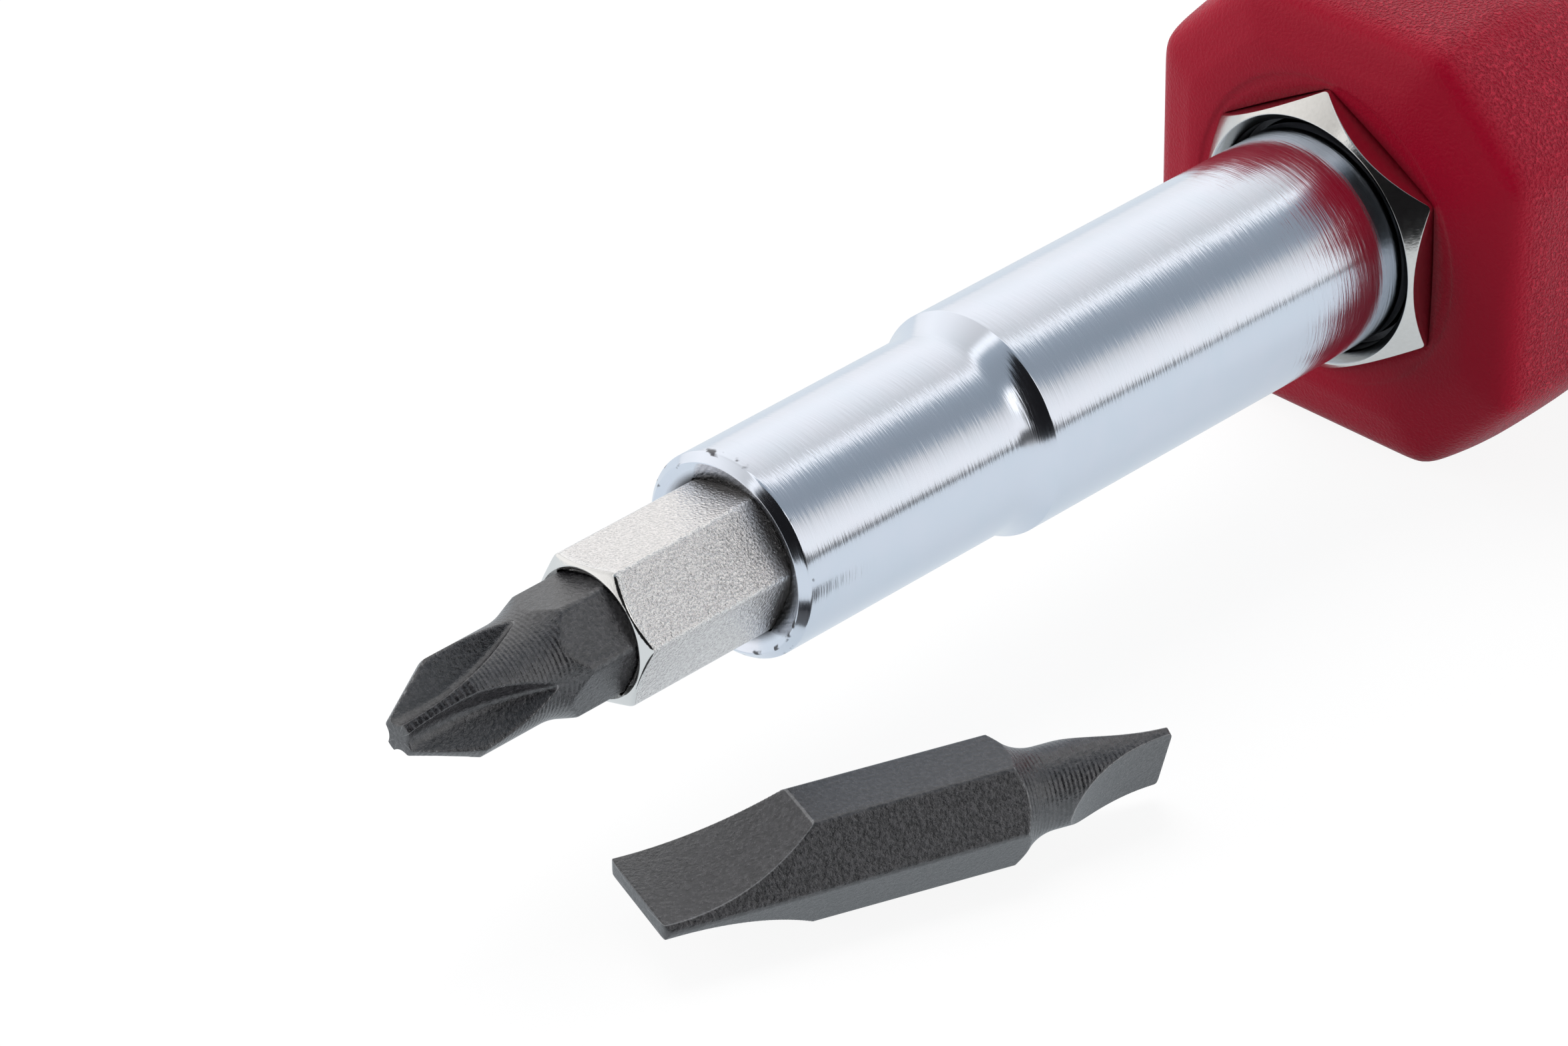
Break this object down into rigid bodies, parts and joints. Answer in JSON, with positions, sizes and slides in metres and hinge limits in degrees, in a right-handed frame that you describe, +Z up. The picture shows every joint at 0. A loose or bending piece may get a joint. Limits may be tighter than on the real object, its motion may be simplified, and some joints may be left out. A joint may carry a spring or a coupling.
{
  "type": "multi-bit screwdriver",
  "caption": "Screwdriver with a moulded handle, hexagon bolster, stepped barrel, reversible hexagon bit sleeve and double-ended cross-point and flat-blade bits held by ball catches.",
  "frame": {"origin": "on the tool's axis, in the plane of the bolster's front face, where the bare shaft ends", "axes": "+X along the tool's axis from the tip towards the handle, +Z up from the surface the tool lies on, +Y to the far side from the loose bit"},
  "size_m": [0.173, 0.0339, 0.0276],
  "materials": {
    "handle_plastic": "moulded with a fine leathery grain, smooth edges",
    "bolster_nickel": "nickel plated, polished chamfer",
    "barrel_zinc": "bright zinc over turned steel",
    "sleeve_steel": "plated, sand-grained flats",
    "bit_steel": "dark phosphate, worn edges",
    "ball_steel": "polished",
    "spring_steel": "drawn wire"
  },
  "bodies": {
    "driver": {"handle": "handle_plastic", "bolster": "bolster_nickel", "barrel": "barrel_zinc"},
    "sleeve": {"sleeve": "sleeve_steel", "sleeve_spring": "spring_steel"},
    "sleeve_ball": {"sleeve_ball": "ball_steel"},
    "phillips_bit": {"phillips_bit": "bit_steel", "phillips_spring": "spring_steel"},
    "phillips_ball": {"phillips_ball": "ball_steel"},
    "slotted_bit": {"slotted_bit": "bit_steel", "slotted_spring": "spring_steel"},
    "slotted_ball": {"slotted_ball": "ball_steel"}
  },
  "joints": [
    {"name": "sleeve_slide", "type": "slide", "parent": "driver", "child": "sleeve", "axis": [-1, 0, 0], "range_m": [0, 0.04]},
    {"name": "phillips_slide", "type": "slide", "parent": "sleeve", "child": "phillips_bit", "axis": [-1, 0, 0], "range_m": [0, 0.02]},
    {"name": "slotted_lift", "type": "slide", "parent": "driver", "child": "slotted_bit", "axis": [0, 0, 1], "range_m": [0, 0.03]},
    {"name": "sleeve_ball_press", "type": "slide", "parent": "sleeve", "child": "sleeve_ball", "axis": [0, 0.1478, 0.989], "range_m": [0, 0.0003], "stiffness_N_per_m": 300, "springref_m": -0.0003, "deforming": ["sleeve_spring"]},
    {"name": "phillips_ball_press", "type": "slide", "parent": "phillips_bit", "child": "phillips_ball", "axis": [0, 0.1857, 0.9826], "range_m": [0, 0.0003], "stiffness_N_per_m": 300, "springref_m": -0.0003, "deforming": ["phillips_spring"]},
    {"name": "slotted_ball_press", "type": "slide", "parent": "slotted_bit", "child": "slotted_ball", "axis": [-0.3033, -0.8112, -0.5], "range_m": [0, 0.0003], "stiffness_N_per_m": 300, "springref_m": -0.0003, "deforming": ["slotted_spring"]}
  ]
}
